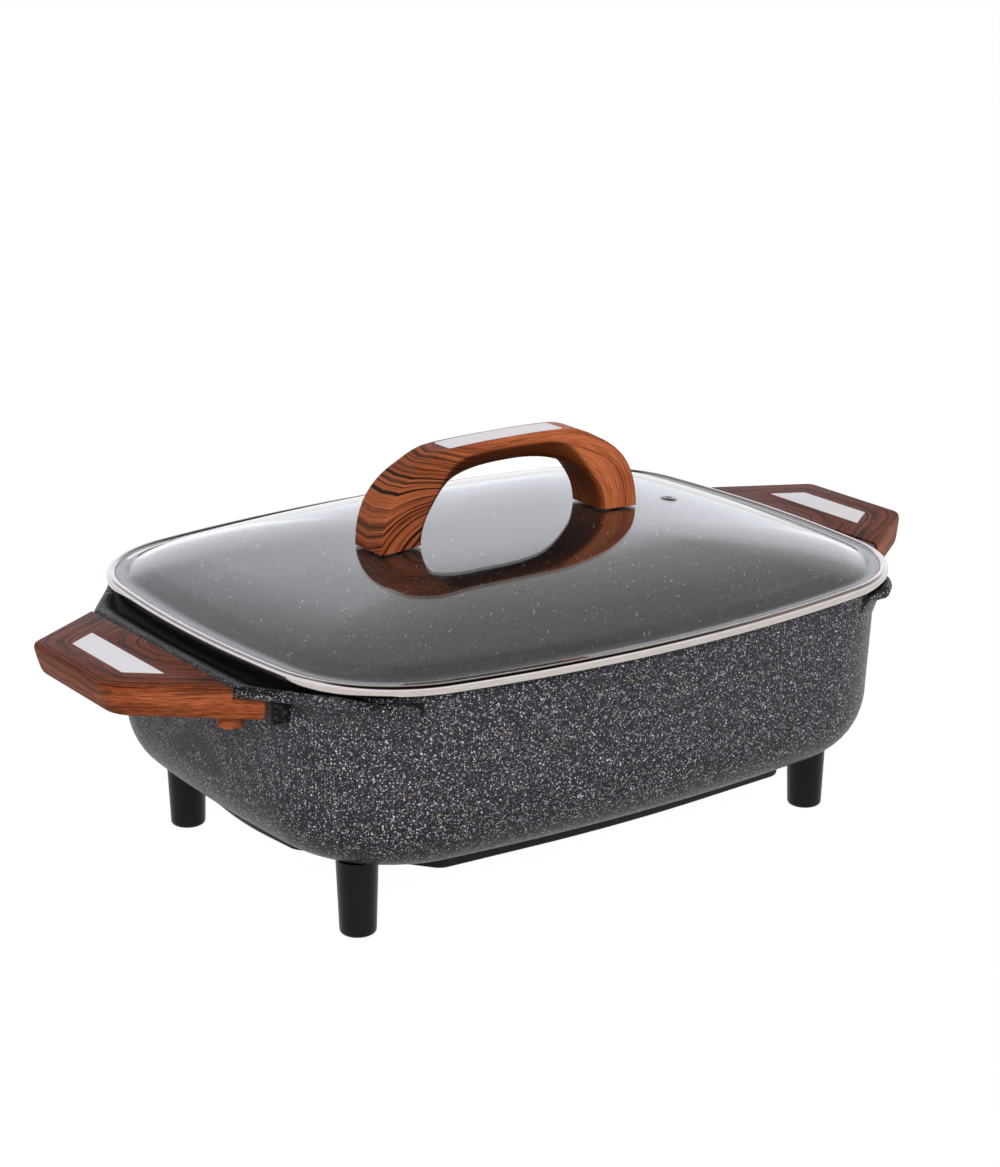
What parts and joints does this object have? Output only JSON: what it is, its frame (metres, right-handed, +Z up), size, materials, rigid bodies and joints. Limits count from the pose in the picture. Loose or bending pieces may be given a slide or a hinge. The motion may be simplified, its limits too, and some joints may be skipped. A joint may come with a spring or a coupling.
{
  "type": "electric skillet",
  "caption": "Rectangular electric skillet: a speckled cast pan on short legs, wood-look side handles, and a domed glass lid with an arched grip that lifts off.",
  "frame": {"origin": "on the table under the middle of the pan", "axes": "+X from the left handle to the right handle, where the contact pins are; +Y to the back; +Z up"},
  "size_m": [0.5354, 0.3286, 0.2254],
  "materials": {
    "nonstick_aluminium": "dark speckled nonstick coating",
    "wood_look_phenolic": "wood-grain film, satin",
    "satin_plate": "satin",
    "zinc_steel": "zinc plated",
    "black_phenolic": "satin",
    "black_cover": "satin",
    "sheath_steel": "heat-darkened",
    "ceramic": "unglazed",
    "pin_steel": "plated",
    "sleeve_aluminium": "plain",
    "tempered_glass": "clear, polished",
    "polished_steel": "polished stainless",
    "silicone": "matte"
  },
  "bodies": {
    "pan": {"pan_body": "nonstick_aluminium", "left_handle": "wood_look_phenolic", "right_handle": "wood_look_phenolic", "left_handle_plate": "satin_plate", "right_handle_plate": "satin_plate", "handle_screws": "zinc_steel", "front_left_leg": "black_phenolic", "front_right_leg": "black_phenolic", "rear_left_leg": "black_phenolic", "rear_right_leg": "black_phenolic", "leg_screws": "zinc_steel", "base_cover": "black_cover", "base_cover_screws": "zinc_steel", "heating_element": "sheath_steel", "element_insulators": "ceramic", "terminal_pins": "pin_steel", "terminal_guard": "black_phenolic", "probe_sleeve": "sleeve_aluminium"},
    "lid": {"lid_glass": "tempered_glass", "lid_rim": "polished_steel", "lid_handle": "wood_look_phenolic", "lid_handle_plate": "satin_plate", "lid_handle_gaskets": "silicone", "lid_handle_screws": "zinc_steel", "lid_handle_washers": "zinc_steel", "steam_vent": "polished_steel"}
  },
  "joints": [
    {"name": "lid_lift", "type": "slide", "parent": "pan", "child": "lid", "axis": [0, 0, 1], "range_m": [0, 0.15]}
  ]
}
